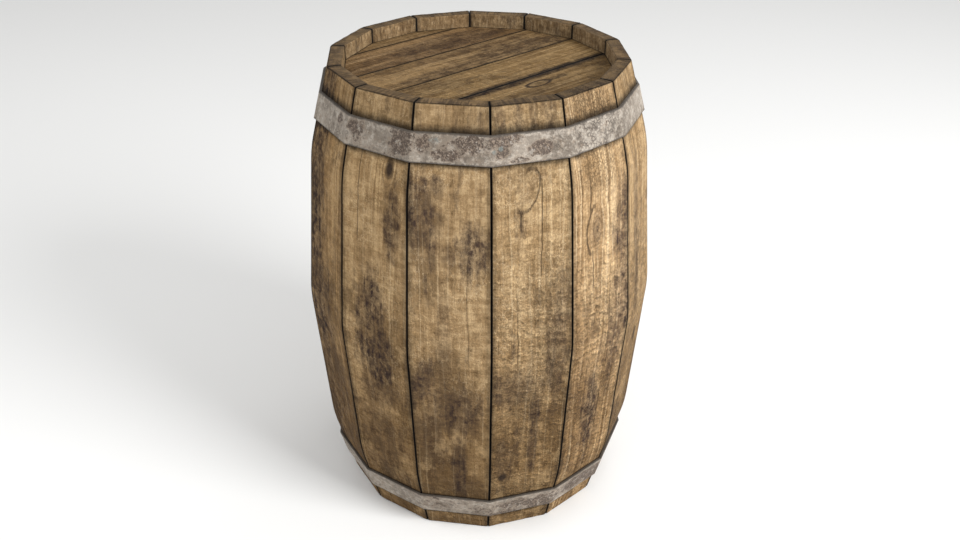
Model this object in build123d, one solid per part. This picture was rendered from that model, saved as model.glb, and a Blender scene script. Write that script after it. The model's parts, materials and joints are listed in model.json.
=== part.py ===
from build123d import *
import os
from math import atan, cos, degrees, radians, sin, tan

# Oak wine barrel of the 225 litre size, in millimetres.
# +Z is up, the origin is the middle of the base, and the bung looks along +Y.
# The barrel has flat staves, so its plan is a regular polygon with corners on +X and -X.
# A "flat" is the distance from the axis to the middle of one of the polygon's sides.

# Staves
STAVE_COUNT = 14
HEIGHT = 914.0
END_FLAT = 276.6
QUARTER_FLAT = 315.9
BILGE_FLAT = 340.0
QUARTER_HEIGHT = 150.0
BEND_RADIUS = 300.0
STAVE_THICKNESS = 34.0
CHIME_FLAT = 250.2

# Heads
HEAD_RECESS = 27.4
HEAD_THICKNESS = 24.0
CROZE_WIDTH = 7.0
CROZE_DEPTH = 6.0
BEVEL_START_GAP = 0.7
BEVEL_RUN = 30.0
BOARD_NAMES = ["front_cant", "front_quarter", "front_middle", "rear_middle", "rear_quarter", "rear_cant"]
BOARD_PITCH = 107.0
RUSH_THICKNESS = 0.8
RUSH_SETBACK = 1.5
DOWEL_RADIUS = 4.0
DOWEL_LENGTH = 36.0
DOWEL_DEPTH = 10.0
DOWEL_SPREAD = 0.45

# Hoops and their rivets
HOOP_START = 45.0
HOOP_WIDTH = 50.0
HOOP_THICKNESS = 5.0
LAP_LENGTH = 90.0
LAP_STEP = 8.0
LAP_GAP = 0.2
LAP_SLIT = 1.0
RIVET_SPACING = 46.0
RIVET_RADIUS = 3.0
RIVET_HEAD_RADIUS = 7.0
RIVET_HEAD_HEIGHT = 3.5

# Bung and bung hole
BUNG_HOLE_RADIUS = 27.0
BUNG_TAPER = 1.0 / 16.0
BUNG_CLEARANCE = 0.1
BUNG_PROUD = 8.0
BUNG_INSIDE = 5.0
BUNG_CHAMFER = 2.0
REAMER_OVERRUN = 12.0

# Worked out from the dimensions above
STAVE_ANGLE = 360.0 / STAVE_COUNT
HALF_HEIGHT = HEIGHT / 2
BUNG_SIDE = 90.0
LAP_SIDE = BUNG_SIDE + STAVE_ANGLE
SEAM_ANGLE = 2 * STAVE_ANGLE
SEAM_COUNT = len(BOARD_NAMES) - 1
END_SLOPE = (QUARTER_FLAT - END_FLAT) / QUARTER_HEIGHT
END_LEAN = degrees(atan(END_SLOPE))
HEAD_TOP = HEIGHT - HEAD_RECESS
CROZE_BOTTOM = HEAD_TOP - CROZE_WIDTH
HEAD_BOTTOM = HEAD_TOP - HEAD_THICKNESS
CROZE_FLAT = CHIME_FLAT + CROZE_DEPTH
LAP_THICKNESS = 2 * HOOP_THICKNESS + LAP_GAP
# Longer than any piece is wide, for blanks that are cut to size
REACH = 2 * BILGE_FLAT


def head_outline(height, flat):
    """The polygon of a head at a height, with one side along each stave."""
    return Plane.XY.offset(height) * RegularPolygon(flat, STAVE_COUNT, major_radius=False)


def sector():
    """The space of one stave: between two planes through the axis, about +X."""
    half_side = REACH * tan(radians(STAVE_ANGLE / 2))
    outline = Polygon((0, 0), (REACH, -half_side), (REACH, half_side), align=None)
    return extrude(outline, amount=HEIGHT)


def turned(shape, angle):
    return Rot(0, 0, angle) * shape


def flipped(shape):
    """The same piece at the other end of the barrel."""
    return mirror(shape, about=Plane.XY.offset(HALF_HEIGHT))


def section_below(flat, bottom, height):
    """The part of the section plane that is nearer to the axis than a flat, over a height."""
    return Pos(0, bottom) * Rectangle(flat, height, align=(Align.MIN, Align.MIN))


def stave():
    """One stave about +X: bent lengthwise, mitred, planed at the rims and grooved for the heads."""
    outside = FilletPolyline(
        (END_FLAT, 0),
        (QUARTER_FLAT, QUARTER_HEIGHT),
        (BILGE_FLAT, HALF_HEIGHT),
        (QUARTER_FLAT, HEIGHT - QUARTER_HEIGHT),
        (END_FLAT, HEIGHT),
        radius=BEND_RADIUS,
    )
    inside = Pos(-STAVE_THICKNESS, 0) * outside
    ends = [Line(outside @ 0, inside @ 0), Line(outside @ 1, inside @ 1)]
    section = make_face(outside.edges() + inside.edges() + ends)
    for bottom in (0, HEAD_TOP):
        section = section - section_below(CHIME_FLAT, bottom, HEAD_RECESS)
    for bottom in (HEAD_RECESS, CROZE_BOTTOM):
        section = section - section_below(CROZE_FLAT, bottom, CROZE_WIDTH)
    return extrude(Plane.XZ * section, amount=REACH, both=True) & sector()


def bung_cone(start, end, clearance):
    """A cone about +X that follows the taper of the bung hole between two distances from the axis."""
    radii = [BUNG_HOLE_RADIUS + (x - BILGE_FLAT) * BUNG_TAPER - clearance for x in (start, end)]
    cone = Cone(radii[0], radii[1], end - start, align=(Align.CENTER, Align.CENTER, Align.MIN))
    return Plane(origin=(start, 0, HALF_HEIGHT), x_dir=(0, 1, 0), z_dir=(1, 0, 0)) * cone


def bung_hole():
    inner_face = BILGE_FLAT - STAVE_THICKNESS
    return bung_cone(inner_face - REAMER_OVERRUN, BILGE_FLAT + REAMER_OVERRUN, 0)


def bung():
    plug = bung_cone(BILGE_FLAT - STAVE_THICKNESS - BUNG_INSIDE, BILGE_FLAT + BUNG_PROUD, BUNG_CLEARANCE)
    return chamfer(plug.edges().filter_by(GeomType.CIRCLE), BUNG_CHAMFER)


def head_blank():
    """The upper head before it is sawn into boards: a tongue for the croze, and a bevel under it."""
    tongue = extrude(head_outline(CROZE_BOTTOM, CROZE_FLAT), amount=CROZE_WIDTH)
    bevel_flat = CHIME_FLAT - BEVEL_START_GAP
    bevel_top = head_outline(CROZE_BOTTOM, bevel_flat)
    bevel_foot = head_outline(HEAD_BOTTOM, bevel_flat - BEVEL_RUN)
    return tongue + loft([bevel_top, bevel_foot])


def seam_offset(number):
    """Distance of a seam from the axis, square to the boards, for seams 1 to SEAM_COUNT."""
    return (number - (SEAM_COUNT + 1) / 2) * BOARD_PITCH


def seam_slab(start, end, top):
    """A slab along the boards, between two distances square to them, up to a height."""
    slab = Box(REACH, end - start, HEAD_THICKNESS, align=(Align.CENTER, Align.MIN, Align.MAX))
    return turned(Pos(0, start, top) * slab, SEAM_ANGLE)


def head_dowels():
    """Two dowels across each seam of the upper head."""
    dowels = []
    for number in range(1, SEAM_COUNT + 1):
        offset = seam_offset(number)
        half_seam = (CHIME_FLAT**2 - offset**2) ** 0.5
        for side in (-1, 1):
            place = Pos(side * DOWEL_SPREAD * half_seam, offset, HEAD_TOP - DOWEL_DEPTH)
            dowel = place * Rot(90, 0, 0) * Cylinder(DOWEL_RADIUS, DOWEL_LENGTH)
            dowels.append(turned(dowel, SEAM_ANGLE))
    return Part() + dowels


def head_board(blank, dowels, number):
    """Board 0 is the front cant and the last board is the rear cant."""
    start = seam_offset(number) + RUSH_THICKNESS / 2
    end = seam_offset(number + 1) - RUSH_THICKNESS / 2
    return (blank & seam_slab(start, end, HEAD_TOP)) - dowels


def head_rush(blank, dowels):
    """Strips of flattened rush that seal the seams, a little below the face of the boards."""
    strips = []
    for number in range(1, SEAM_COUNT + 1):
        start = seam_offset(number) - RUSH_THICKNESS / 2
        slab = seam_slab(start, start + RUSH_THICKNESS, HEAD_TOP - RUSH_SETBACK)
        strips.append((blank & slab) - dowels)
    return Part() + strips


def hoop_bar(low_side, high_side, lift, thickness):
    """A length of hoop strip on the side about +X, lying on the staves or lifted off them."""
    top = HOOP_START + HOOP_WIDTH
    start_flat = END_FLAT + END_SLOPE * HOOP_START + lift
    top_flat = END_FLAT + END_SLOPE * top + lift
    section = Polygon(
        (start_flat, HOOP_START),
        (start_flat + thickness, HOOP_START),
        (top_flat + thickness, top),
        (top_flat, top),
        align=None,
    )
    bar = extrude(Plane.XZ * section, amount=(high_side - low_side) / 2, both=True)
    return Pos(0, (low_side + high_side) / 2, 0) * bar


def rivet_planes():
    """Where the rivets of the lower hoop start, on the staves, square to the strip."""
    height = HOOP_START + HOOP_WIDTH / 2
    flat = END_FLAT + END_SLOPE * height
    outward = (cos(radians(END_LEAN)), 0, -sin(radians(END_LEAN)))
    return [
        Plane(origin=(flat, side * RIVET_SPACING / 2, height), x_dir=(0, 1, 0), z_dir=outward)
        for side in (-1, 1)
    ]


def hoop():
    """The lower hoop: a strip bent round the staves, its end lapped over its start and riveted."""
    full_side = hoop_bar(-REACH / 2, REACH / 2, 0, HOOP_THICKNESS) & sector()
    ring = Part() + [turned(full_side, number * STAVE_ANGLE) for number in range(STAVE_COUNT)]
    lap_start = -LAP_LENGTH / 2
    slit = hoop_bar(lap_start, lap_start + LAP_SLIT, 0, LAP_THICKNESS)
    step = hoop_bar(lap_start - LAP_STEP, lap_start, 0, LAP_THICKNESS)
    lap = hoop_bar(lap_start, LAP_LENGTH / 2, HOOP_THICKNESS + LAP_GAP, HOOP_THICKNESS)
    strip = (ring - slit) + step + lap
    for plane in rivet_planes():
        strip = strip - plane * Cylinder(RIVET_RADIUS, 2 * LAP_THICKNESS + HOOP_THICKNESS)
    return strip


def rivets():
    """The two rivets of the lower hoop, flush inside and domed outside."""
    grip = LAP_THICKNESS * cos(radians(END_LEAN))
    crown = (0, grip + RIVET_HEAD_HEIGHT)
    rim = (RIVET_HEAD_RADIUS, grip)
    shoulder = (RIVET_RADIUS, grip)
    foot = (RIVET_RADIUS, 0)
    # The dome's arc is square to the axis at the crown.
    dome_radius = (RIVET_HEAD_RADIUS**2 + RIVET_HEAD_HEIGHT**2) / (2 * RIVET_HEAD_HEIGHT)
    half_turn = atan(RIVET_HEAD_HEIGHT / RIVET_HEAD_RADIUS)
    mid_dome = (
        dome_radius * sin(half_turn),
        grip + RIVET_HEAD_HEIGHT - dome_radius * (1 - cos(half_turn)),
    )
    outline = [
        Line((0, 0), foot),
        Line(foot, shoulder),
        Line(shoulder, rim),
        ThreePointArc(rim, mid_dome, crown),
        Line(crown, (0, 0)),
    ]
    rivet = revolve(Plane.XZ * make_face(outline), axis=Axis.Z)
    return Part() + [plane * rivet for plane in rivet_planes()]


def barrel_nodes():
    """Every node of the barrel by name."""
    nodes = {}
    plain_stave = stave()
    nodes["bung_stave"] = turned(plain_stave - bung_hole(), BUNG_SIDE)
    for number in range(1, STAVE_COUNT):
        nodes[f"stave_{number:02d}"] = turned(plain_stave, BUNG_SIDE + number * STAVE_ANGLE)
    nodes["bung"] = turned(bung(), BUNG_SIDE)

    blank = head_blank()
    dowels = head_dowels()
    upper_head = {}
    for number, name in enumerate(BOARD_NAMES):
        upper_head[f"head_{name}"] = head_board(blank, dowels, number)
    upper_head["head_rush"] = head_rush(blank, dowels)
    upper_head["head_dowels"] = dowels
    for name, piece in upper_head.items():
        nodes[f"upper_{name}"] = piece
        nodes[f"lower_{name}"] = flipped(piece)

    lower_hoop = {"hoop": turned(hoop(), LAP_SIDE), "hoop_rivets": turned(rivets(), LAP_SIDE)}
    for name, piece in lower_hoop.items():
        nodes[f"lower_{name}"] = piece
        nodes[f"upper_{name}"] = flipped(piece)
    return nodes


os.makedirs("parts", exist_ok=True)
for node_name, shape in barrel_nodes().items():
    export_step(shape, f"parts/{node_name}.step")
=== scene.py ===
"""The looks of an oak wine barrel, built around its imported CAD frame. Metres, +Z up, bung at +Y."""

import json
import math

import bmesh
import bpy
import numpy as np
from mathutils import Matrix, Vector, noise
from mathutils.bvhtree import BVHTree


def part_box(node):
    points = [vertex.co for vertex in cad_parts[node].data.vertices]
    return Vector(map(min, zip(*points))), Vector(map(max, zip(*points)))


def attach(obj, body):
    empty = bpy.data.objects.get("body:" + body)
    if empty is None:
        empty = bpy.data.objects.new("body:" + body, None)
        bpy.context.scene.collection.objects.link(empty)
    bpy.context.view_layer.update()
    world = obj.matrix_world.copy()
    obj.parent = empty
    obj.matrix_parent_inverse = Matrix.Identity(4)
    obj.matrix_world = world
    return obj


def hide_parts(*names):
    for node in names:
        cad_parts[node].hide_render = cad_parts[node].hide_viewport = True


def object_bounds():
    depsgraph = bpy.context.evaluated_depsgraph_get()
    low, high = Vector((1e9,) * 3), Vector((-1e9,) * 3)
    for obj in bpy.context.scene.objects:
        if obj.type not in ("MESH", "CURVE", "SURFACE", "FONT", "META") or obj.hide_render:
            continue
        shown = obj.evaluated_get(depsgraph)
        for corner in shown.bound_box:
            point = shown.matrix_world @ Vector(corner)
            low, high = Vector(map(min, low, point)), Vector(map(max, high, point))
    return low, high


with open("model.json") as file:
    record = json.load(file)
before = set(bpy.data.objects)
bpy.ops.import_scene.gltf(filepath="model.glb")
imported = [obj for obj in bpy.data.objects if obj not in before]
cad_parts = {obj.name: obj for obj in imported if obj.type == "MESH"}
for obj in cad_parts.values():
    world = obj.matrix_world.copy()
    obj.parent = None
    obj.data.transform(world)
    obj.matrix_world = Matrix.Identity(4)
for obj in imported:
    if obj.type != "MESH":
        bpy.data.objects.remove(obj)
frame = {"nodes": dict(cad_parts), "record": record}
cad_low, cad_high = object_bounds()

MM = 0.001
HEIGHT = cad_high.z - cad_low.z
HALF = HEIGHT / 2

# Camera, in heights of the barrel
CAMERA_AZIMUTH = 8.86
CAMERA_ELEVATION = 29.63
CAMERA_DISTANCE = 2.354
AIM_HEIGHT = 0.49
AIM_SIDE = 0.0037
LENS_MM = 38.74

# Wear of the pieces
SEAM_GAP = 0.8 * MM
STAVE_ROUND = 2.6 * MM
RIM_ROUND = 1.8 * MM
STAVE_DISH = 0.45 * MM
EDGE_CHIP = 1.6 * MM
HOOP_ROUND = 0.9 * MM
HOOP_DENT = 0.35 * MM
HOOP_PIT = 0.25 * MM
HOOP_SWAY = 0.5 * MM
BUNG_DENT = 0.9 * MM
BOARD_ROUND = 1.3 * MM
WIDE_SEAM_ROUND = 3.0 * MM
BOARD_DISH = 0.5 * MM

# How finely the meshes follow the surfaces
PROBE_INSET = 0.1 * MM
NOTCH_STEP = 0.05 * MM
STAVE_PITCH = (3.6 * MM, 6 * MM)
BOARD_PITCH = (4 * MM, 5 * MM)
HOOP_PITCH = 3.2 * MM
HOOP_STATIONS = 620
TURNED_SIDES = 72
SHARP_ANGLE = 38

# Colours, linear
OAK_PALE = (0.64, 0.49, 0.3)
OAK_LIGHT = (0.455, 0.315, 0.165)
OAK_MID = (0.265, 0.17, 0.081)
OAK_DARK = (0.106, 0.062, 0.026)
STAIN = (0.034, 0.021, 0.018)
KNOT_DARK = (0.04, 0.026, 0.017)
CRACK_BROWN = (0.03, 0.019, 0.013)
SEAM_BLACK = (0.006, 0.005, 0.004)
END_GRAIN = (0.105, 0.069, 0.036)
LOW_DARKENING_TINT = (0.8, 0.765, 0.7)
IRON_PALE = (0.5, 0.45, 0.385)
IRON_LIGHT = (0.35, 0.303, 0.25)
IRON_MID = (0.205, 0.17, 0.134)
IRON_EDGE = (0.055, 0.045, 0.036)
RUST = (0.066, 0.043, 0.029)
RUST_PALE = (0.31, 0.235, 0.17)
VERDIGRIS = (0.155, 0.175, 0.165)
FLOOR_COLOUR = (0.86, 0.86, 0.85)


# --- measures from the frame

def in_slot(slot):
    return sorted(p["node"] for p in frame["record"]["subparts"] if p["material_slot"] == slot)


STAVES = in_slot("stave_oak")
STAVE_ANGLE = 2 * math.pi / len(STAVES)
HALF_TAN = math.tan(STAVE_ANGLE / 2)
FAR = 2 * cad_high.x


def node_points(name):
    mesh = frame["nodes"][name].data
    points = np.empty(len(mesh.vertices) * 3)
    mesh.vertices.foreach_get("co", points)
    return points.reshape(-1, 3)


def level_points(name, at_top):
    """A node's vertices in its top or bottom plane."""
    points = node_points(name)
    level = points[:, 2].max() if at_top else points[:, 2].min()
    return points[abs(points[:, 2] - level) < PROBE_INSET]


def heading(points):
    """The direction of some points from the axis, as an angle about +Z."""
    return math.atan2(points[:, 1].mean(), points[:, 0].mean())


UP = Vector((0, 0, 1))


def outward(angle):
    return Vector((math.cos(angle), math.sin(angle), 0))


def sideways(angle):
    return Vector((-math.sin(angle), math.cos(angle), 0))


def prober(name):
    """A function that gives the distance from the axis where a level ray meets a node."""
    mesh = frame["nodes"][name].data
    tree = BVHTree.FromPolygons([v.co for v in mesh.vertices], [list(p.vertices) for p in mesh.polygons])

    def probe(angle, height, from_outside):
        way = outward(angle)
        start = way * (FAR if from_outside else 0) + UP * height
        hit = tree.ray_cast(start, -way if from_outside else way)[0]
        return hit.dot(way)

    return probe


MODEL_STAVE = STAVES[-1]
MODEL_HEADING = heading(level_points(MODEL_STAVE, True))
stave_probe = prober(MODEL_STAVE)
HEAD_PLANES = {
    "upper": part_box("upper_head_front_middle")[1].z,
    "lower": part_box("lower_head_front_middle")[0].z,
}
HEAD_THICKNESS = HEAD_PLANES["upper"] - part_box("upper_head_front_middle")[0].z
HEAD_RECESS = cad_high.z - HEAD_PLANES["upper"]
HOOP_SPANS = {end: [corner.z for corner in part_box(f"{end}_hoop")] for end in ("upper", "lower")}


def notch_levels():
    """The heights at which the inside of a stave steps: the edges of the croze grooves."""
    levels = np.unique(node_points(MODEL_STAVE)[:, 2].round(5))
    from_end = np.minimum(levels, HEIGHT - levels)
    return levels[(from_end > 5 * MM) & (from_end < HEAD_RECESS + HEAD_THICKNESS)]


NOTCHES = notch_levels()
CROZE_WIDTH = NOTCHES[1] - NOTCHES[0]
EDGE_STEPS = [0, 0.4 * MM, 0.9 * MM, 1.6 * MM, 2.6 * MM, 4 * MM, 6 * MM]


def spread(low, high, pitch, extra=()):
    """Stations from low to high: close together at the ends, a pitch apart between, plus some extra ones."""
    inner_low = low + EDGE_STEPS[-1] + pitch
    inner_high = high - EDGE_STEPS[-1] - pitch
    count = max(2, round((inner_high - inner_low) / pitch) + 1)
    stations = [low + step for step in EDGE_STEPS]
    stations += list(np.linspace(inner_low, inner_high, count))
    stations += [high - step for step in EDGE_STEPS]
    stations += list(extra)
    return sorted(stations)


ROWS = spread(0, HEIGHT, STAVE_PITCH[1], [z + step for z in NOTCHES for step in (-NOTCH_STEP, NOTCH_STEP)])
PROBED = np.clip(ROWS, PROBE_INSET, HEIGHT - PROBE_INSET)
OUTER_FLATS = [stave_probe(MODEL_HEADING, z, True) for z in PROBED]
INNER_FLATS = [stave_probe(MODEL_HEADING, z, False) for z in PROBED]
CHIME_FLAT = INNER_FLATS[-1]
RIM_WIDTH = OUTER_FLATS[-1] - CHIME_FLAT


def outer_flat(height):
    return float(np.interp(height, ROWS, OUTER_FLATS))


def inner_flat(height):
    return float(np.interp(height, ROWS, INNER_FLATS))


# --- mesh tools

def lattice_shell(name, columns, layers, rows, place):
    """A closed mesh from the surface of a box lattice. place(column, layer, row) gives each point."""
    stations = (columns, layers, rows)
    last = [len(s) - 1 for s in stations]
    index = {}
    points = []
    for i, u in enumerate(columns):
        for j, s in enumerate(layers):
            on_wall = i in (0, last[0]) or j in (0, last[1])
            picked = range(last[2] + 1) if on_wall else (0, last[2])
            for k in picked:
                index[i, j, k] = len(points)
                points.append(place(u, s, rows[k]))
    faces = []
    for axis in range(3):
        a, b = (n for n in range(3) if n != axis)
        for side in (0, last[axis]):
            for p in range(last[a]):
                for q in range(last[b]):
                    quad = []
                    for step_a, step_b in ((0, 0), (1, 0), (1, 1), (0, 1)):
                        cell = [side] * 3
                        cell[a] = p + step_a
                        cell[b] = q + step_b
                        quad.append(index[tuple(cell)])
                    faces.append(quad)
    return finished_mesh(name, points, faces)


def lathe_shell(name, profile, segments, place):
    """A closed mesh turned from (radius, height) points that start and end on the axis."""
    points = [place(0, 0, profile[0][1]), place(0, 0, profile[-1][1])]
    rings = profile[1:-1]
    for radius, height in rings:
        for n in range(segments):
            turn = 2 * math.pi * n / segments
            points.append(place(radius * math.cos(turn), radius * math.sin(turn), height))
    faces = []
    for n in range(segments):
        after = (n + 1) % segments
        for ring in range(len(rings) - 1):
            here = 2 + ring * segments
            there = here + segments
            faces.append([here + n, here + after, there + after, there + n])
        top = 2 + (len(rings) - 1) * segments
        faces.append([0, 2 + after, 2 + n])
        faces.append([1, top + n, top + after])
    return finished_mesh(name, points, faces)


def finished_mesh(name, points, faces):
    mesh = bpy.data.meshes.new(name)
    mesh.from_pydata([tuple(p) for p in points], [], faces)
    work = bmesh.new()
    work.from_mesh(mesh)
    bmesh.ops.recalc_face_normals(work, faces=work.faces)
    work.to_mesh(mesh)
    work.free()
    return smooth(mesh)


def smooth(mesh):
    mesh.shade_smooth()
    mesh.set_sharp_from_angle(angle=math.radians(SHARP_ANGLE))
    return mesh


def put(name, data):
    """Makes an object of a mesh, lamp or camera in the scene."""
    item = bpy.data.objects.new(name, data)
    bpy.context.scene.collection.objects.link(item)
    return item


def paint(mesh, material):
    mesh.materials.clear()
    mesh.materials.append(material)


def add_piece(name, mesh, body, slot, material, *nodes):
    """Puts a finished mesh in the scene as a piece that stands for some CAD nodes."""
    piece = put(name, mesh)
    paint(mesh, material)
    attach(piece, body)
    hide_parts(*nodes)


def store(mesh, measure):
    """
    Keeps two vectors per vertex on a mesh, for its material to read: measure(point) gives the point's
    place in the grain and its distances from the piece's edges.
    """
    measured = [measure(vertex.co) for vertex in mesh.vertices]
    for label, values in zip(("grain", "edges"), zip(*measured)):
        layer = mesh.attributes.new(label, "FLOAT_VECTOR", "POINT")
        layer.data.foreach_set("vector", np.asarray(values, np.float32).ravel())


def ripple(*at):
    """Smooth noise from -1 to 1 at a point."""
    return noise.noise(Vector(at))


def round_off(radius, *distances):
    """How far a worn edge falls below its sharp shape, at distances from the edges beside it."""
    reach = sum(max(0.0, 1 - d / radius) ** 2 for d in distances)
    return radius * (1 - math.sqrt(max(0.0, 1 - reach)))


def chip(seed, along):
    """Depth of the odd chip in an edge."""
    return EDGE_CHIP * max(0.0, ripple(along * 22, seed * 3.7, 0.5) - 0.25)


# --- staves

def stave_place(seed, angle):
    """Where a point of a worn stave lies. u runs across from -1 to 1, s from outside to inside."""
    way, side = outward(angle), sideways(angle)

    def place(u, s, z):
        outside, inside = outer_flat(z), inner_flat(z)
        from_side = (1 - abs(u)) * outside * HALF_TAN
        from_end = min(z, HEIGHT - z)
        worn = STAVE_ROUND * (1 + 0.5 * ripple(z * 9, u > 0, seed))
        rim = RIM_ROUND * (1.3 + 0.7 * ripple(u * 4, seed, z > HALF))
        drop = round_off(worn, from_side) + round_off(rim, from_end)
        if from_side < STAVE_ROUND:
            drop += chip(seed + (u > 0), z)
        if from_end < RIM_ROUND:
            drop += chip(seed + 5, u * 0.2 + z)
        drop += STAVE_DISH * (0.5 + 0.5 * ripple(u * 1.6, z * 7, seed * 1.9))
        flat = outside - min(drop, RIM_WIDTH / 4) * (1 - s)
        flat += s * (inside + round_off(rim, from_end) - outside)
        gap = SEAM_GAP * (1 - s) ** 3
        across = u * (flat * HALF_TAN - gap)
        notch = 0.7 * round_off(worn, from_side) if from_end < RIM_ROUND / 4 else 0
        height = z + notch * (1 if z < HALF else -1)
        return way * flat + side * across + UP * height

    return place


STAVE_LAYERS = [0, 0.06, 0.15, 0.3, 0.5, 0.7, 0.86, 1]


def stave_measure(angle):
    """
    A function that gives a point's place in its stave (across, below the face, along) and its distances
    from the seams, from the outer edge of the rim and from its inner edge.
    """
    way, side = outward(angle), sideways(angle)

    def measure(point):
        flat, across, z = point.dot(way), point.dot(side), point.z
        depth = outer_flat(z) - flat
        from_end = max(0.0, min(z, HEIGHT - z))
        outer_edge = math.hypot(from_end, max(0.0, depth))
        inner_edge = math.hypot(from_end, max(0.0, RIM_WIDTH - depth))
        return (across, depth, z), (flat * HALF_TAN - abs(across), outer_edge, inner_edge)

    return measure


HOLE_SEARCH = 40 * MM
HOLE_OVERRUN = 15 * MM
HOLE_FLARE = 2 * MM
LIP_BELOW = 0.5 * MM
LIP_ABOVE = 1.5 * MM


def cut_bung_hole(mesh, angle):
    """Cuts the tapered hole that the CAD stave has."""
    way, side = outward(angle), sideways(angle)
    points = node_points("bung_stave")
    flats = points @ np.array(way)
    reach = np.hypot(points @ np.array(side), points[:, 2] - HALF)
    rim = reach < HOLE_SEARCH
    taper, base = np.polyfit(flats[rim], reach[rim], 1)
    near, far = inner_flat(HALF), outer_flat(HALF)
    radii = [float(taper * flat + base) for flat in (near, far)]
    start, stop, lip = near - HOLE_OVERRUN, far + HOLE_OVERRUN, far - LIP_BELOW
    profile = [
        (0, start),
        (radii[0] - taper * HOLE_OVERRUN, start),
        (radii[1] + taper * (lip - far), lip),
        (radii[1] + HOLE_FLARE, far + LIP_ABOVE),
        (radii[1] + HOLE_FLARE, stop),
        (0, stop),
    ]

    def place(x, y, flat):
        return way * flat + side * x + UP * (HALF + y)

    cutter = put("bung_hole_cutter", lathe_shell("bung_hole_cutter", profile, TURNED_SIDES, place))
    block = put("bung_stave_blank", mesh)
    cut = block.modifiers.new("hole", "BOOLEAN")
    cut.object = cutter
    cut.operation = "DIFFERENCE"
    cut.solver = "EXACT"
    graph = bpy.context.evaluated_depsgraph_get()
    made = bpy.data.meshes.new_from_object(block.evaluated_get(graph))
    for item in (cutter, block):
        bpy.data.objects.remove(item)
    return smooth(made)


def make_staves():
    half_width = outer_flat(HALF) * HALF_TAN
    columns = [x / half_width for x in spread(-half_width, half_width, STAVE_PITCH[0])]
    for number, name in enumerate(STAVES):
        angle = heading(level_points(name, True))
        seed = 1.7 + 2.31 * number
        mesh = lattice_shell(name, columns, STAVE_LAYERS, ROWS, stave_place(seed, angle))
        if name == "bung_stave":
            mesh = cut_bung_hole(mesh, angle)
        store(mesh, stave_measure(angle))
        add_piece(f"oak_{name}", mesh, "barrel", "stave_oak", stave_oak(name, seed), name)


# --- heads

def head_frame():
    """The directions along and across the head boards, from the narrowest way over one board."""
    points = node_points("upper_head_front_middle")[:, :2]

    def width(angle):
        across = sideways(angle)
        reach = points @ np.array(across[:2])
        return reach.max() - reach.min()

    angle = min((n * STAVE_ANGLE / 2 for n in range(len(STAVES))), key=width)
    return outward(angle), sideways(angle)


ALONG_BOARD, ACROSS_BOARD = head_frame()
STAVE_WAYS = [outward(heading(level_points(name, True))) for name in STAVES]
TONGUE_FLAT = max(
    float((node_points("upper_head_front_middle") @ np.array(way)).max()) for way in STAVE_WAYS
)
BEVEL_WIDTH = 30 * MM
BEVEL_START = 0.22
BOARD_LAYERS = [0, 0.2, 0.5, 0.8, 1]
BOARD_ORDER = ["front_cant", "front_quarter", "front_middle", "rear_middle", "rear_quarter", "rear_cant"]


def seam_round(label, side):
    """The seam between the front quarter and the front middle board has opened more than the others."""
    wide = (label, side) in (("front_quarter", "high"), ("front_middle", "low"))
    return WIDE_SEAM_ROUND if wide else BOARD_ROUND


def head_flat(point):
    """How far out a point of a head is, as the flat of the polygon through it."""
    return max(point.dot(way) for way in STAVE_WAYS)


def board_reach(across):
    """Where a line along the boards leaves the head's outline, behind and ahead."""
    behind, ahead = -FAR, FAR
    for way in STAVE_WAYS:
        lean = way.dot(ALONG_BOARD)
        room = TONGUE_FLAT - across * way.dot(ACROSS_BOARD)
        if lean > PROBE_INSET:
            ahead = min(ahead, room / lean)
        elif lean < -PROBE_INSET:
            behind = max(behind, room / lean)
    return behind, ahead


def make_board(end, label, seed):
    name = f"{end}_head_{label}"
    reach = node_points(name) @ np.array(ACROSS_BOARD)
    low, high = float(reach.min()), float(reach.max())
    face = HEAD_PLANES[end]
    inward = -1 if end == "upper" else 1
    round_low, round_high = seam_round(label, "low"), seam_round(label, "high")
    open_low, open_high = round_low / BOARD_ROUND, round_high / BOARD_ROUND
    half_length = max(abs(x) for x in board_reach((low + high) / 2))
    rows = [x / half_length for x in spread(-half_length, half_length, BOARD_PITCH[1])]

    def place(across, s, v):
        behind, ahead = board_reach(across)
        middle, half = (ahead + behind) / 2, (ahead - behind) / 2
        along = middle + v * half
        point = ACROSS_BOARD * across + ALONG_BOARD * along
        drop = round_off(round_low * (1 + 0.4 * ripple(along * 11, seed, 0)), across - low)
        drop += round_off(round_high * (1 + 0.4 * ripple(along * 11, seed, 4)), high - across)
        drop += BOARD_DISH * (0.5 + 0.5 * ripple(across * 14, along * 5, seed))
        bevel = (TONGUE_FLAT - head_flat(point)) / BEVEL_WIDTH
        depth = CROZE_WIDTH + (HEAD_THICKNESS - CROZE_WIDTH) * min(1.0, max(0.0, bevel - BEVEL_START))
        height = face + inward * (drop * (1 - s) + depth * s)
        return point + UP * height

    mesh = lattice_shell(name, spread(low, high, BOARD_PITCH[0]), BOARD_LAYERS, rows, place)

    # The distances from the seams and from the chime are for the painted shade and dirt at the seams and the
    # painted shade where the board meets the chime.
    def measure(point):
        across, along = point.dot(ACROSS_BOARD), point.dot(ALONG_BOARD)
        from_seams = min((across - low) / open_low, (high - across) / open_high)
        from_chime = max(0.0, CHIME_FLAT - head_flat(Vector((point.x, point.y, 0))))
        return (across, (face - point.z) * -inward, along), (from_seams, from_chime, FAR)

    store(mesh, measure)
    add_piece(f"oak_{name}", mesh, "barrel", "head_oak", head_oak(name, label, seed), name)


def make_heads():
    for turn, end in enumerate(("upper", "lower")):
        for number, label in enumerate(BOARD_ORDER):
            make_board(end, label, 3.1 + 1.93 * number + 17 * turn)
        for piece, material in (("rush", rush_fibre()), ("dowels", pale_dowel())):
            paint(frame["nodes"][f"{end}_head_{piece}"].data, material)


# --- hoops

LAP_STEP = 8 * MM
LAP_SLIT = MM


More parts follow.
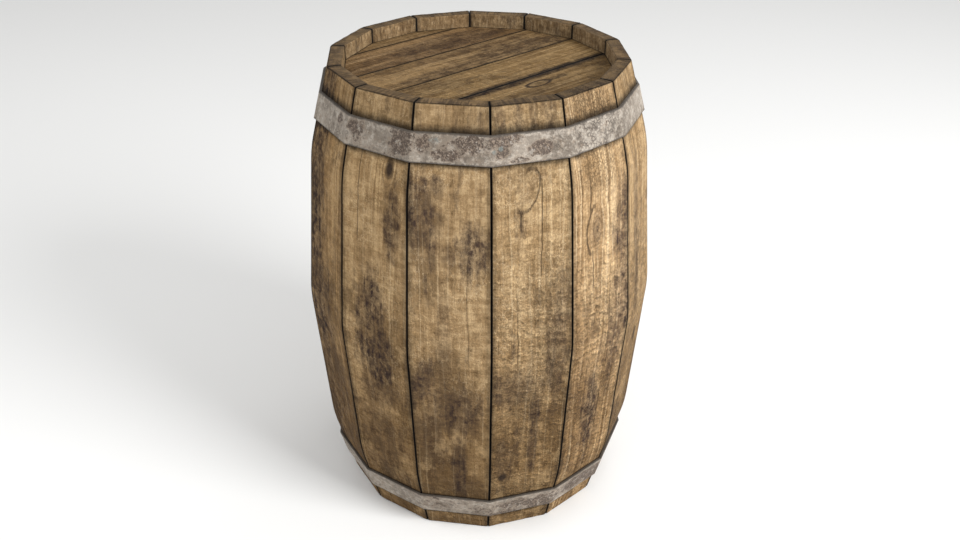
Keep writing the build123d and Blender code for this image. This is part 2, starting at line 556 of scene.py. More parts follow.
def make_hoop(end):
    """A strip round the staves, its last end stepped up over its first, with rust pits and dents."""
    name = f"{end}_hoop"
    probe = prober(name)
    low, high = HOOP_SPANS[end]
    lap_angle = heading(node_points(f"{name}_rivets"))
    plain_angle = lap_angle + math.pi
    middle = (low + high) / 2
    thickness = probe(plain_angle, middle, True) - probe(plain_angle, middle, False)
    lift = probe(lap_angle, middle, True) - probe(plain_angle, middle, True)
    way, side = outward(lap_angle), sideways(lap_angle)
    points = node_points(name)
    proud = points[(points @ np.array(way)) > outer_flat(middle) + 1.8 * thickness] @ np.array(side)
    step_start, lap_end = float(proud.min()), float(proud.max())
    first_end = step_start + LAP_STEP + LAP_SLIT
    pitch = 2 * (outer_flat(middle) + thickness) * HALF_TAN
    count = len(STAVES)
    corners = [n + 0.5 for n in range(count)]
    stations = set(np.linspace(first_end / pitch, count + lap_end / pitch, HOOP_STATIONS))
    stations |= {c + step for c in corners for step in (-0.02, 0, 0.02)}
    stations |= {count + (step_start + LAP_STEP * f) / pitch for f in (0, 0.2, 0.4, 0.6, 0.8, 1)}
    rows = spread(low, high, HOOP_PITCH)
    seed = 7.3 if end == "upper" else 19.1

    def place(q, s, z):
        facet = round(q)
        angle = lap_angle + facet * STAVE_ANGLE
        base = outer_flat(z)
        rise = min(1.0, max(0.0, (q - count) * pitch - step_start) / LAP_STEP)
        from_edge = min(z - low, high - z)
        wear = round_off(HOOP_ROUND, from_edge)
        dent = HOOP_DENT * (0.5 + 0.5 * ripple(q * 2.3, z * 30, seed))
        pits = HOOP_PIT * max(0.0, ripple(q * 24, z * 170, seed + 3))
        outer = base + thickness - wear - dent - pits
        inner = base + 0.3 * wear
        flat = outer + (inner - outer) * s + lift * rise * rise * (3 - 2 * rise)
        across = (q - facet) * 2 * flat * HALF_TAN
        sway = HOOP_SWAY * ripple(q * 3.1, seed, z > middle) if from_edge < EDGE_STEPS[-1] else 0
        squeeze = sway * (1 - from_edge / EDGE_STEPS[-1])
        height = z + abs(squeeze) * (1 if z < middle else -1)
        return outward(angle) * flat + sideways(angle) * across + UP * height

    mesh = lattice_shell(name, sorted(stations), [0, 0.5, 1], rows, place)

    def measure(point):
        """The free end on top of the lap is an edge too, so the material paints a shadow line along it."""
        from_edge = min(point.z - low, high - point.z)
        if point.dot(way) > outer_flat(point.z) + 1.1 * thickness:
            from_edge = min(from_edge, lap_end - point.dot(side))
        return tuple(point), (from_edge, 0, 0)

    store(mesh, measure)
    add_piece(f"iron_{name}", mesh, "barrel", "hoop_iron", hoop_iron(name, seed, *HOOP_LOOKS[end]), name)
    make_rivets(name, way, side, middle)


RIVET_DOME = 0.27
RIVET_SHANK = 0.42
RIVET_SKIRT = 0.9
RIVET_BRIM = 0.12
RIVET_SIDES = 32
RIVET_BEATEN = 0.07


def make_rivets(hoop_name, way, side, middle):
    """Hammered rivet heads where the CAD has them, square to the leaning strip."""
    name = f"{hoop_name}_rivets"
    slope = (outer_flat(middle + MM) - outer_flat(middle - MM)) / (2 * MM)
    axis = (way - UP * slope).normalized()
    points = node_points(name)
    up = axis.cross(side)
    parts = []
    seats = []
    for number, sign in enumerate((-1, 1)):
        mine = [Vector(p) for p in points if sign * Vector(p).dot(side) > 0]
        levels = [p.dot(axis) for p in mine]
        at_side = sum((p.dot(side) for p in mine), 0.0) / len(mine)
        start = way * outer_flat(middle) + side * at_side + UP * middle
        seats.append(start)
        offsets = [p - start for p in mine]
        radius = max(math.hypot(o.dot(side), o.dot(up)) for o in offsets)
        full = max(levels) - min(levels)
        dome = RIVET_DOME * full
        foot, brim, shank = full - dome, RIVET_BRIM * dome, RIVET_SHANK * radius
        profile = [(0, 0), (shank, 0), (shank, foot), (RIVET_SKIRT * radius, foot)]
        for t in np.linspace(0, 1.35, 8):
            profile.append((radius * math.cos(t), foot + brim + (dome - brim) * math.sin(t)))
        profile.append((0, full))

        def place(x, y, h):
            hammered = 1 + RIVET_BEATEN * ripple(x * 260, y * 260, number + 1.5)
            return start + side * (x * hammered) + up * (y * hammered) + axis * h

        parts.append(lathe_shell(f"{name}_{number}", profile, RIVET_SIDES, place))
    work = bmesh.new()
    for part in parts:
        work.from_mesh(part)
    mesh = bpy.data.meshes.new(name)
    work.to_mesh(mesh)
    work.free()
    smooth(mesh)

    def measure(point):
        off_axis = min((point - seat).cross(axis).length for seat in seats)
        return tuple(point), (max(0.0, radius - off_axis), 0, 0)

    store(mesh, measure)
    add_piece(f"iron_{name}", mesh, "barrel", "rivet_iron", hoop_iron(name, 4.4, *RIVET_LOOK), name)


# --- bung

STRUCK_DEPTH = 3 * MM
BUNG_SHRINK = 0.012


def make_bung():
    """A turned plug, struck on its face."""
    points = node_points("bung")
    way = outward(heading(level_points("bung_stave", True)))
    start = float((points @ np.array(way)).min())
    stop = float((points @ np.array(way)).max())
    heights = sorted({round(float(p @ np.array(way)), 5) for p in points})
    radii = []
    for height in heights:
        ring = [p for p in points if abs(p @ np.array(way) - height) < PROBE_INSET]
        radii.append(max(math.hypot(p[0] * way.y - p[1] * way.x, p[2] - HALF) for p in ring))
    stations = np.concatenate([
        np.linspace(heights[0], heights[1], 4)[:-1],
        np.linspace(heights[1], heights[-2], 14)[:-1],
        np.linspace(heights[-2], heights[-1], 5),
    ])
    profile = [(0, start)] + [(float(np.interp(h, heights, radii)), float(h)) for h in stations]
    face_radius = radii[-1]
    profile += [(face_radius * f, stop) for f in (0.94, 0.85, 0.7, 0.5, 0.3, 0.15)]
    profile.append((0, stop))
    side = sideways(math.atan2(way.y, way.x))

    def place(x, y, h):
        struck = 0.0
        if h > stop - STRUCK_DEPTH:
            struck = BUNG_DENT * (0.5 + 0.5 * ripple(x * 90, y * 90, 2.5))
        shrink = 1 - BUNG_SHRINK * (0.5 + 0.5 * ripple(x * 60, y * 60, h * 60))
        return way * (h - struck) + side * x * shrink + UP * (HALF + y * shrink)

    mesh = lathe_shell("bung", profile, TURNED_SIDES, place)

    def measure(point):
        across, depth, up = point.dot(side), stop - point.dot(way), point.z - HALF
        from_rim = math.hypot(face_radius - math.hypot(across, up), depth)
        return (up, depth, across), (FAR, from_rim, FAR)

    store(mesh, measure)
    add_piece("oak_bung", mesh, "bung", "bung_wood", bung_oak(), "bung")


# --- shader tools

class Shader:
    """One node material. Each method adds a node and gives its output."""

    def __init__(self, name):
        self.material = bpy.data.materials.new(name)
        self.material.use_nodes = True
        self.tree = self.material.node_tree
        self.surface = self.tree.nodes["Principled BSDF"]

    def node(self, kind, inputs, output=0, **settings):
        made = self.tree.nodes.new(kind)
        for key, value in settings.items():
            setattr(made, key, value)
        for key, value in inputs.items():
            self.feed(made.inputs[key], value)
        return made.outputs[output]

    def feed(self, socket, value):
        if isinstance(value, bpy.types.NodeSocket):
            self.tree.links.new(value, socket)
        elif isinstance(value, tuple) and socket.type == "RGBA":
            socket.default_value = (*value, 1)
        else:
            socket.default_value = value

    def attribute(self, label):
        return self.node("ShaderNodeAttribute", {}, "Vector", attribute_name=label)

    def split(self, vector):
        made = self.node("ShaderNodeSeparateXYZ", {0: vector}).node
        return made.outputs[0], made.outputs[1], made.outputs[2]

    def join(self, x, y, z):
        return self.node("ShaderNodeCombineXYZ", {0: x, 1: y, 2: z})

    def math(self, operation, a, b=0.0, c=0.0):
        return self.node("ShaderNodeMath", {0: a, 1: b, 2: c}, operation=operation)

    def vector(self, operation, a, b):
        return self.node("ShaderNodeVectorMath", {0: a, 1: b}, operation=operation)

    def noise(self, place, stretch, detail=4.0, roughness=0.55):
        """Noise of a place in metres. stretch says how many features a metre has each way."""
        scaled = self.vector("MULTIPLY", place, stretch)
        inputs = {"Vector": scaled, "Scale": 1.0, "Detail": detail, "Roughness": roughness}
        return self.node("ShaderNodeTexNoise", inputs)

    def cells(self, place, stretch, feature="DISTANCE_TO_EDGE"):
        """Small cells of a place in metres: how far a point is from the cell's edge, or its middle."""
        scaled = self.vector("MULTIPLY", place, stretch)
        inputs = {"Vector": scaled, "Scale": 1.0}
        return self.node("ShaderNodeTexVoronoi", inputs, "Distance", feature=feature)

    def step(self, value, low, high, to_low=0.0, to_high=1.0):
        """A smooth step from to_low to to_high as the value goes from low to high."""
        inputs = {"Value": value, "From Min": low, "From Max": high, "To Min": to_low, "To Max": to_high}
        return self.node("ShaderNodeMapRange", inputs, interpolation_type="SMOOTHSTEP")

    def mix(self, share, a, b, blend="MIX"):
        return self.node("ShaderNodeMix", {0: share, 6: a, 7: b}, 2, data_type="RGBA", blend_type=blend)

    def product(self, *values):
        made = values[0]
        for value in values[1:]:
            made = self.math("MULTIPLY", made, value)
        return made

    def total(self, start, *terms):
        """A start with some (value, weight) terms added to it."""
        made = start
        for value, weight in terms:
            made = self.math("MULTIPLY_ADD", value, weight, made)
        return made

    def gap(self, a, b):
        return self.math("ABSOLUTE", self.math("SUBTRACT", a, b))

    def layers(self, colour, *coats):
        """Lays coats of (value, low, high, share at low, share at high, colour) over a colour, in turn."""
        for value, low, high, to_low, to_high, coat in coats:
            colour = self.mix(self.step(value, low, high, to_low, to_high), colour, coat)
        return colour

    def veins(self, place, stretch, strength):
        """Thin winding lines, in some places and not in others."""
        shifted = self.vector("ADD", place, (strength, strength, strength))
        winding = self.gap(self.noise(shifted, stretch, 6, 0.62), 0.5)
        lines = self.step(winding, 0.002, 0.016, strength, 0.0)
        return self.product(lines, self.step(self.noise(shifted, (15, 15, 11), 3, 0.5), 0.46, 0.58))

    def most(self, values):
        """The largest of some values."""
        best = values[0]
        for value in values[1:]:
            best = self.math("MAXIMUM", best, value)
        return best

    def finish(self, relief=None, **inputs):
        """Feeds the surface's inputs, relief being (height, distance in metres) of a bump."""
        if relief:
            bump = {"Strength": 1.0, "Distance": relief[1], "Height": relief[0]}
            inputs["Normal"] = self.node("ShaderNodeBump", bump)
        for label, value in inputs.items():
            self.feed(self.surface.inputs[label.replace("_", " ")], value)
        return self.material


# --- oak

PLAIN_LOOK = ((1.0, 1.0, 1.0), 0.45, 0.5, 1.0)


class Oak(Shader):
    """A shader with the single marks of one plank. Places and sizes are in metres, across and along it."""

    def add(self, marks, place, across, along, ragged, bent):
        """Makes the marks in {kind: [values]}. Knots push the grain aside, so they come first."""
        self.place = place
        self.across, self.along = across, along
        self.ragged, self.bent = ragged, bent
        self.dark, self.cores, self.cracks = [], [], []
        for kind in ("knot", "check", "stain", "crazed", "swirl"):
            for values in marks.get(kind, ()):
                getattr(self, kind)(*values)

    def offset(self, at, lean=0.0):
        x = self.math("SUBTRACT", self.across, at[0])
        y = self.math("SUBTRACT", self.along, at[1])
        return self.total(x, (y, -lean)), y

    def radius(self, x, y, size_x, size_y):
        run = self.math("DIVIDE", x, size_x)
        rise = self.math("DIVIDE", y, size_y)
        squared = self.total(self.product(run, run), (rise, rise))
        return self.math("SQRT", squared), squared

    def knot(self, at, size, stretch, core=1.0, rings=0.6):
        x, y = self.offset(at)
        distance, squared = self.radius(x, y, size, size * stretch)
        push = self.math("DIVIDE", x, self.math("ADD", squared, 0.45))
        self.bent = self.total(self.bent, (push, -0.9))
        self.cores.append(self.step(self.total(distance, (self.ragged, 0.6)), 0.45, 1.3, core, 0.0))
        phase = self.total(self.math("MULTIPLY", distance, 8.0), (self.ragged, 14.0))
        ring_share = self.step(distance, 0.8, 3.2, rings, 0.0)
        self.dark.append(self.product(self.step(self.math("SINE", phase), 0.2, 1.0), ring_share))

    def check(self, across, low, high, width, depth):
        """A drying crack along the grain."""
        line = self.step(self.gap(self.bent, across), 0.25 * width, width, depth, 0.0)
        fade = min(0.03, (high - low) / 3)
        starts = self.step(self.along, low, low + fade)
        ends = self.step(self.along, high - fade, high, 1.0, 0.0)
        self.cracks.append(self.product(line, starts, ends))

    def stain(self, at, size, depth, lean=0.0):
        distance, _ = self.radius(*self.offset(at, lean), *size)
        edge = self.total(distance, (self.ragged, 3.6))
        self.dark.append(self.step(edge, 0.6, 1.55, depth, 0.0))

    def crazed(self, at, size, depth):
        """A patch of surface that has dried into small cells."""
        distance, _ = self.radius(*self.offset(at), *size)
        inside = self.step(self.total(distance, (self.ragged, 3.0)), 0.4, 1.3, depth, 0.0)
        bend = self.math("MULTIPLY", self.ragged, 14 * MM)
        curled = self.vector("ADD", self.place, self.join(bend, bend, bend))
        cells = self.cells(curled, (250, 250, 130))
        self.cracks.append(self.product(inside, self.step(cells, 0.02, 0.16, 1.0, 0.0)))

    def swirl(self, at, size, lean, open_side, depth, width):
        """A curved crack round most of a grown-over knot. width is a share of its size."""
        x, y = self.offset(at, lean)
        distance, _ = self.radius(x, y, *size)
        wobble = self.total(distance, (self.ragged, 0.8))
        line = self.step(self.gap(wobble, 1.0), 0.1 * width, width, depth, 0.0)
        shut = self.step(self.math("DIVIDE", x, size[0]), open_side, open_side + 0.4)
        self.cracks.append(self.product(line, shut))
        self.dark.append(self.step(wobble, 0.4, 1.1, 0.4, 0.0))


def oak(name, seed, marks, look=PLAIN_LOOK, foot=0.0, seam=1.0, dirt_and_shadow_bands=()):
    """
    Weathered oak that follows a plank's grain. look is a colour to multiply by, how much of the plank is
    dirty, how far lines along the grain win over blotches, and how rough it is, which also sets how strong
    the painted light and shade on its folds are. foot is how much its lower half has darkened, and seam how
    wide the dark sides are, dirty and with painted shade. dirt_and_shadow_bands lists (height, reach,
    strength) of the dark bands round a stave next to the hoops, dirty and with painted shadow; a plank
    without it has no cut ends in sight.
    """
    tone, stained, grainy, rough = look
    wood = Oak(name)
    grain = wood.attribute("grain")
    across, depth, along = wood.split(grain)
    side, end, inner_end = wood.split(wood.attribute("edges"))
    place = wood.vector("ADD", grain, (seed * 1.37, seed * 0.71, seed * 2.13))
    frayed = wood.noise(place, (90, 90, 9), 7, 0.66)
    torn = wood.math("ADD", wood.noise(place, (40, 40, 26), 8, 0.72), frayed)
    ragged = wood.total(-0.6, (torn, 0.6))
    drift = wood.math("SUBTRACT", wood.noise(place, (6, 6, 2.4), 3, 0.5), 0.5)
    tremor = wood.math("SUBTRACT", wood.noise(place, (24, 24, 36), 3, 0.55), 0.5)
    swayed = wood.total(across, (drift, 0.03), (tremor, 0.005))

    wood.add(marks, place, across, along, ragged, swayed)

    fibre_place = wood.join(wood.bent, depth, along)
    fibre_place = wood.vector("ADD", fibre_place, (seed * 2.9, seed, seed * 1.7))
    bands = wood.noise(fibre_place, (30, 30, 1.2), 3, 0.5)
    streaks = wood.noise(fibre_place, (150, 150, 5), 6, 0.65)
    fibres = wood.noise(fibre_place, (620, 620, 30), 3, 0.6)
    thin = wood.noise(fibre_place, (230, 230, 2.4), 3, 0.5)
    blotches = wood.noise(place, (52, 52, 40), 10, 0.74)
    clouds = wood.noise(place, (12, 12, 7.5), 8, 0.64)
    bleached = wood.noise(place, (17, 17, 12), 9, 0.7)
    flames = wood.noise(place, (20, 20, 95), 7, 0.66)
    speckle = wood.noise(place, (330, 330, 330), 4, 0.7)
    lumps = wood.noise(place, (110, 110, 75), 5, 0.6)
    curl = wood.math("MULTIPLY", ragged, 22 * MM)
    curled = wood.vector("ADD", place, wood.join(curl, curl, curl))
    fold_size = (70, 70, 105)
    swell = wood.noise(curled, fold_size, 4, 0.6)
    beside = wood.noise(wood.vector("ADD", curled, (1.5 * MM, 0, 1.5 * MM)), fold_size, 4, 0.6)
    folds = wood.gap(swell, 0.5)

    lines = wood.total(wood.math("MULTIPLY", bands, 0.4), (streaks, 0.6))
    body = wood.total(
        wood.math("MULTIPLY", lines, 0.25 + 0.45 * grainy),
        (blotches, 0.45 - 0.25 * grainy),
        (flames, 0.3 - 0.2 * grainy),
    )
    # Darker and warmer towards the bottom of the plank, by foot.
    low_darkening = wood.step(along, 0.18, 0.56, foot, 0.0)
    body = wood.total(body, (low_darkening, -0.035))
    browning = wood.total(wood.math("MULTIPLY", clouds, 0.6), (blotches, 0.4), (low_darkening, 0.045))
    turning = 0.55 - 0.09 * stained
    colour = wood.layers(
        wood.mix(wood.step(body, 0.46, 0.58), OAK_MID, OAK_LIGHT),
        (body, 0.38, 0.47, 0.9, 0.0, OAK_DARK),
        (browning, turning, turning + 0.09, 0.0, 0.75, OAK_DARK),
        (bleached, 0.54, 0.64, 0.0, 0.65, OAK_LIGHT),
        (thin, 0.58, 0.68, 0.0, 0.25 + 0.45 * grainy, OAK_DARK),
        (thin, 0.32, 0.42, 0.15 + 0.4 * grainy, 0.0, OAK_PALE),
    )
    pale_veins = wood.veins(place, (60, 60, 44), 0.45 - 0.1 * grainy)
    pale_veins = wood.product(pale_veins, wood.total(1.0, (low_darkening, -0.5)))
    colour = wood.mix(pale_veins, colour, OAK_PALE)
    colour = wood.mix(wood.veins(place, (44, 44, 30), 0.6 - 0.3 * grainy), colour, OAK_DARK)

    weather = wood.noise(place, (19, 19, 6), 9, 0.66)
    soiling = wood.total(weather, (ragged, 0.5), (low_darkening, 0.02))
    soiled = 0.61 - 0.12 * stained
    dark = wood.product(
        wood.most([wood.step(soiling, soiled, soiled + 0.12, 0.0, 0.75)] + wood.dark),
        wood.step(blotches, 0.42, 0.6, 1.0, 0.56),
        wood.step(streaks, 0.4, 0.6, 0.75, 1.0),
        wood.step(lumps, 0.46, 0.62, 1.0, 0.62),
    )
    colour = wood.mix(dark, colour, STAIN)
    if wood.cores:
        colour = wood.mix(wood.most(wood.cores), colour, KNOT_DARK)

    # Painted light and shade on the folds: their valleys darker and their crests lighter, and swell less its
    # copy 1.5 mm across and up lightening and darkening the colour as if the folds were lit from one side,
    # this second part weaker towards the top; both grow with rough.
    smooth_above = wood.step(along, 0.5, 0.74, 1.0, 0.25)
    slope = wood.product(wood.math("SUBTRACT", swell, beside), smooth_above)
    shade = wood.product(
        wood.step(fibres, 0.25, 0.8, 0.88, 1.08),
        wood.step(speckle, 0.32, 0.68, 0.88, 1.12),
        wood.step(folds, 0.0, 0.07, 1 - 0.1 * rough, 1 + 0.05 * rough),
        wood.total(1.0, (slope, 1.9 * rough)),
    )
    shade = wood.vector("MULTIPLY", wood.join(shade, shade, shade), tone)
    colour = wood.mix(1.0, colour, shade, "MULTIPLY")
    colour = wood.mix(low_darkening, colour, LOW_DARKENING_TINT, "MULTIPLY")
    if dirt_and_shadow_bands:
        colour = cut_end(wood, colour, place, depth, rough)

    # Painted shade and dirt: a near-black line at the seams and a soft dark band beside them, for the shade
    # in the gaps and the dirt in them; a dark line at the end measure, which is the rim's outer edge on a
    # stave and, on a head board, painted shade where it meets the chime; and a faint line at the rim's inner
    # edge.
    dirt_and_shade = [
        wood.step(side, 1.5 * seam * MM, 3.6 * seam * MM, 1.0, 0.0),
        wood.step(wood.total(side, (ragged, 16 * seam * MM)), 0.0, 15 * seam * MM, 0.5, 0.0),
        wood.step(end, 0.8 * MM, 3.0 * MM, 0.9, 0.0),
        wood.step(inner_end, 0.4 * MM, 2.4 * MM, 0.3, 0.0),
    ]
    # Dark bands next to the hoops: dirt and painted shadow above and under them.
    for level, reach, strength in dirt_and_shadow_bands:
        away = wood.total(wood.gap(along, level), (ragged, 1.2 * reach))
        dirt_and_shade.append(wood.step(away, 0.0, reach, strength, 0.0))
    colour = wood.mix(wood.most(dirt_and_shade), colour, SEAM_BLACK)

    height = wood.total(wood.math("MULTIPLY", fibres, 0.25), (streaks, 0.5), (blotches, 0.7))
    height = wood.total(height, (lumps, 0.9), (folds, 1.9))
    height = wood.product(height, wood.step(along, 0.5, 0.74, 1.0, 0.6))
    height = wood.total(height, (speckle, 0.25))
    if wood.cracks:
        cracks = wood.most(wood.cracks)
        colour = wood.mix(cracks, colour, CRACK_BROWN)
        height = wood.total(height, (cracks, -0.8))
    return wood.finish(
        relief=(height, 2.2 * MM * rough),
        Base_Color=colour,
        Roughness=wood.step(blotches, 0.4, 0.6, 0.88, 0.7),
        Specular_IOR_Level=0.1,
    )


def cut_end(wood, colour, place, depth, rough):
    """
    End grain on the faces that look up or down, with dark strokes that run in from the outer edge, and
    the dry, streaky wood inside the rim, with painted shade over it in the hollow of the chime.
    """
    up = wood.math("ABSOLUTE", wood.split(wood.node("ShaderNodeNewGeometry", {}, "Normal"))[2])
    inset = wood.math("DIVIDE", depth, RIM_WIDTH)
    patches = wood.noise(place, (14, 14, 14), 2, 0.5)
    strokes = wood.total(wood.noise(place, (190, 16, 16), 4, 0.6), (inset, 0.15), (patches, 0.14))
    cloud = wood.noise(place, (30, 60, 60), 6, 0.65)
    cut_face = wood.layers(
        END_GRAIN,
        (cloud, 0.44, 0.62, 0.0, 0.45, OAK_MID),
        (strokes, 0.52, 0.69, 0.66, 0.0, KNOT_DARK),
    )
    within = wood.step(depth, 0.6 * RIM_WIDTH, 0.95 * RIM_WIDTH)
    dry = wood.noise(place, (210, 210, 10), 5, 0.62)
    dryness = wood.math("MULTIPLY", within, 0.4 * rough)
    colour = wood.mix(wood.product(dryness, wood.step(dry, 0.4, 0.5, 0.75, 0.0)), colour, KNOT_DARK)
    colour = wood.mix(wood.product(dryness, wood.step(dry, 0.54, 0.66, 0.0, 0.5)), colour, OAK_PALE)
    # Painted shade inside the rim, in the hollow of the chime.
    colour = wood.mix(wood.math("MULTIPLY", within, 0.22), colour, STAIN)
    return wood.mix(wood.step(up, 0.55, 0.8), colour, cut_face)


STAVE_MARKS = {
    "stave_04": {"stain": [((0.01, 0.5), (0.04, 0.3), 0.8)]},
    "stave_05": {
        "check": [(0.04, 0.3, 0.7, 1.2 * MM, 0.6)],
        "stain": [
            ((-0.054, 0.72), (0.04, 0.3), 1.1),
            ((-0.036, 0.45), (0.05, 0.11), 1.1),
            ((-0.04, 0.3), (0.03, 0.2), 0.8),
            ((-0.01, 0.26), (0.05, 0.14), 0.7),
        ],
    },
    "stave_06": {
        "knot": [((0.03, 0.797), 0.0085, 2.0)],
        "check": [(-0.034, 0.64, 0.84, 1.2 * MM, 0.6)],
        "stain": [
            ((0.042, 0.7), (0.018, 0.065), 0.95),
            ((-0.008, 0.51), (0.03, 0.07), 1.05),
            ((0.0, 0.425), (0.036, 0.08), 1.1),
            ((0.0, 0.34), (0.036, 0.04), 0.8),
            ((-0.01, 0.2), (0.045, 0.1), 0.6),
        ],
    },
    "stave_07": {
        "check": [(0.03, 0.44, 0.66, 1.0 * MM, 0.5)],
        "stain": [
            ((-0.021, 0.782), (0.01, 0.016), 0.95),
            ((-0.05, 0.725), (0.027, 0.085), 0.95, -0.25),
            ((0.042, 0.665), (0.026, 0.046), 0.95),
            ((-0.005, 0.655), (0.02, 0.02), 0.6),
            ((-0.055, 0.385), (0.02, 0.05), 0.95, 0.3),
            ((0.012, 0.33), (0.046, 0.055), 0.95),
            ((0.013, 0.165), (0.013, 0.1), 0.95),
            ((-0.04, 0.25), (0.025, 0.08), 0.6),
            ((-0.012, 0.47), (0.014, 0.09), 0.45),
        ],
    },
    "stave_08": {
        "knot": [((-0.047, 0.162), 0.0085, 1.2)],
        "check": [
            (0.017, 0.6, 0.8, 1.4 * MM, 0.6),
            (-0.0225, 0.69, 0.745, 1.6 * MM, 0.75),
            (-0.03, 0.42, 0.6, 1.4 * MM, 0.5),
        ],
        "stain": [
            ((-0.014, 0.792), (0.018, 0.012), 0.35),
            ((-0.008, 0.757), (0.006, 0.01), 0.35),
            ((0.049, 0.47), (0.019, 0.13), 0.75, 0.05),
            ((0.011, 0.275), (0.011, 0.105), 0.9),
            ((-0.03, 0.385), (0.045, 0.04), 0.75),
            ((-0.05, 0.205), (0.015, 0.05), 0.6),
            ((-0.01, 0.805), (0.05, 0.022), 0.35),
            ((-0.047, 0.895), (0.007, 0.04), 0.7),
            ((-0.016, 0.895), (0.009, 0.04), 0.65),
            ((0.01, 0.895), (0.006, 0.04), 0.6),
            ((0.036, 0.895), (0.012, 0.04), 0.65),
        ],
        "crazed": [((0.03, 0.5), (0.045, 0.16), 0.3), ((-0.01, 0.33), (0.045, 0.1), 0.25)],
        "swirl": [((-0.008, 0.77), (0.02, 0.037), 0.28, -0.75, 0.6, 0.12)],
    },
    "stave_09": {
        "knot": [((-0.01, 0.671), 0.011, 1.8, 0.1, 0.8)],
        "check": [
            (-0.026, 0.69, 0.79, 1.6 * MM, 0.65),
            (-0.022, 0.54, 0.645, 1.6 * MM, 0.7),
            (0.018, 0.62, 0.85, 1.3 * MM, 0.5),
        ],
        "stain": [
            ((0.055, 0.665), (0.02, 0.08), 1.0),
            ((0.062, 0.54), (0.02, 0.13), 1.0),
            ((-0.004, 0.26), (0.02, 0.1), 1.0, -0.06),
            ((0.045, 0.42), (0.024, 0.09), 0.8),
        ],
        "crazed": [
            ((0.0, 0.885), (0.06, 0.05), 0.4),
            ((0.0, 0.78), (0.06, 0.055), 0.35),
            ((0.0, 0.52), (0.05, 0.09), 0.3),
            ((0.01, 0.3), (0.05, 0.08), 0.25),
        ],
        "swirl": [((-0.012, 0.672), (-0.024, 0.05), 0.1, 0.15, 0.7, 0.12)],
    },
    "stave_10": {
        "knot": [((0.02, 0.36), 0.01, 1.7)],
        "check": [(-0.028, 0.35, 0.75, 1.3 * MM, 0.6)],
        "stain": [((-0.015, 0.62), (0.012, 0.14), 0.7)],
    },
    "stave_11": {"knot": [((-0.03, 0.62), 0.012, 1.8)], "stain": [((0.02, 0.3), (0.03, 0.12), 0.8)]},
    "stave_12": {
        "check": [(0.02, 0.3, 0.8, 1.5 * MM, 0.8)],
        "stain": [((-0.03, 0.55), (0.025, 0.15), 0.8)],
    },
    "stave_13": {"knot": [((0.035, 0.3), 0.01, 1.5)], "stain": [((0.0, 0.7), (0.05, 0.07), 0.7)]},
    "bung_stave": {
        "check": [(-0.045, 0.4, 0.82, 1.4 * MM, 0.8)],
        "stain": [((0.0, 0.36), (0.03, 0.16), 0.9), ((0.0, HALF), (0.05, 0.05), 0.85)],
        "swirl": [((0.0, HALF), (0.03, 0.03), 0.0, -2.0, 0.95, 0.13)],
    },
    "stave_01": {"knot": [((0.03, 0.55), 0.013, 1.9)], "stain": [((-0.04, 0.35), (0.025, 0.12), 0.8)]},
    "stave_02": {
        "check": [(-0.02, 0.18, 0.6, 1.4 * MM, 0.8)],
        "stain": [((0.03, 0.62), (0.025, 0.1), 0.8)],
    },
    "stave_03": {"knot": [((-0.02, 0.26), 0.009, 1.6)], "stain": [((-0.01, 0.7), (0.035, 0.08), 0.7)]},
}
STAVE_LOOKS = {
    "stave_01": ((1.03, 1.01, 0.99), 0.35, 0.3, 1.0),
    "stave_02": ((0.96, 0.94, 0.92), 0.5, 0.6, 1.4),
    "stave_04": ((0.82, 0.79, 0.73), 0.6, 0.5, 1.0),
    "stave_05": ((0.84, 0.78, 0.69), 0.55, 0.5, 0.8),
    "stave_06": ((1.02, 1.0, 0.97), 0.45, 0.3, 0.8),
    "stave_07": ((1.0, 1.0, 1.015), 0.55, 0.15, 0.75),
    "stave_08": ((1.0, 1.0, 1.01), 0.35, 0.25, 1.7),
    "stave_09": ((1.24, 1.23, 1.27), 0.12, 0.8, 2.0),
    "stave_10": ((1.0, 0.99, 0.99), 0.4, 0.8, 1.7),
}


def hoop_dirt_and_shadow():
    """Dark bands above and under both hoops, dirty and with painted shadow, most of all above the upper one.
    """
    bands = []
    for end, (low, high) in HOOP_SPANS.items():
        above = 20 * MM if end == "upper" else 8 * MM
        bands += [(high, above, 0.85), (high, 70 * MM, 0.22), (low, 13 * MM, 0.85)]
    return bands


def stave_oak(name, seed):
    look = STAVE_LOOKS.get(name, PLAIN_LOOK)
    return oak(name, seed, STAVE_MARKS[name], look, foot=1.0, dirt_and_shadow_bands=hoop_dirt_and_shadow())


HEAD_MARKS = {
    "front_quarter": {
        "knot": [((-0.142, 0.016), 0.005, 3.2, 0.25, 0.5)],
        "stain": [
            ((-0.14, 0.06), (0.006, 0.03), 0.8),
            ((-0.112, 0.03), (0.012, 0.22), 1.0),
            ((-0.17, -0.05), (0.014, 0.1), 0.6),
        ],
        "swirl": [((-0.142, 0.016), (0.0105, 0.027), 0.0, -2.0, 0.95, 0.34)],
    },
    "front_middle": {
        "stain": [((-0.105, 0.04), (0.008, 0.26), 1.0), ((-0.03, -0.16), (0.03, 0.07), 0.6)],
    },
    "rear_middle": {
        "stain": [
            ((0.035, 0.15), (0.04, 0.13), 0.9),
            ((0.02, -0.03), (0.018, 0.16), 0.8),
            ((0.085, 0.05), (0.015, 0.15), 0.6),
        ],
    },
    "rear_quarter": {"stain": [((0.15, 0.05), (0.035, 0.15), 0.85), ((0.12, -0.08), (0.012, 0.12), 0.6)]},
}
HEAD_TONES = {
    "front_middle": (0.68, 0.64, 0.54),
    "rear_middle": (0.62, 0.57, 0.49),
    "rear_quarter": (0.58, 0.52, 0.46),
    "rear_cant": (0.56, 0.52, 0.46),
}
FRONT_HEAD_TONE = (0.54, 0.5, 0.42)


def head_oak(name, label, seed):
    look = (HEAD_TONES.get(label, FRONT_HEAD_TONE), 0.35, 0.85, 1.0)
    return oak(name, seed, HEAD_MARKS.get(label, {}), look, seam=0.5)


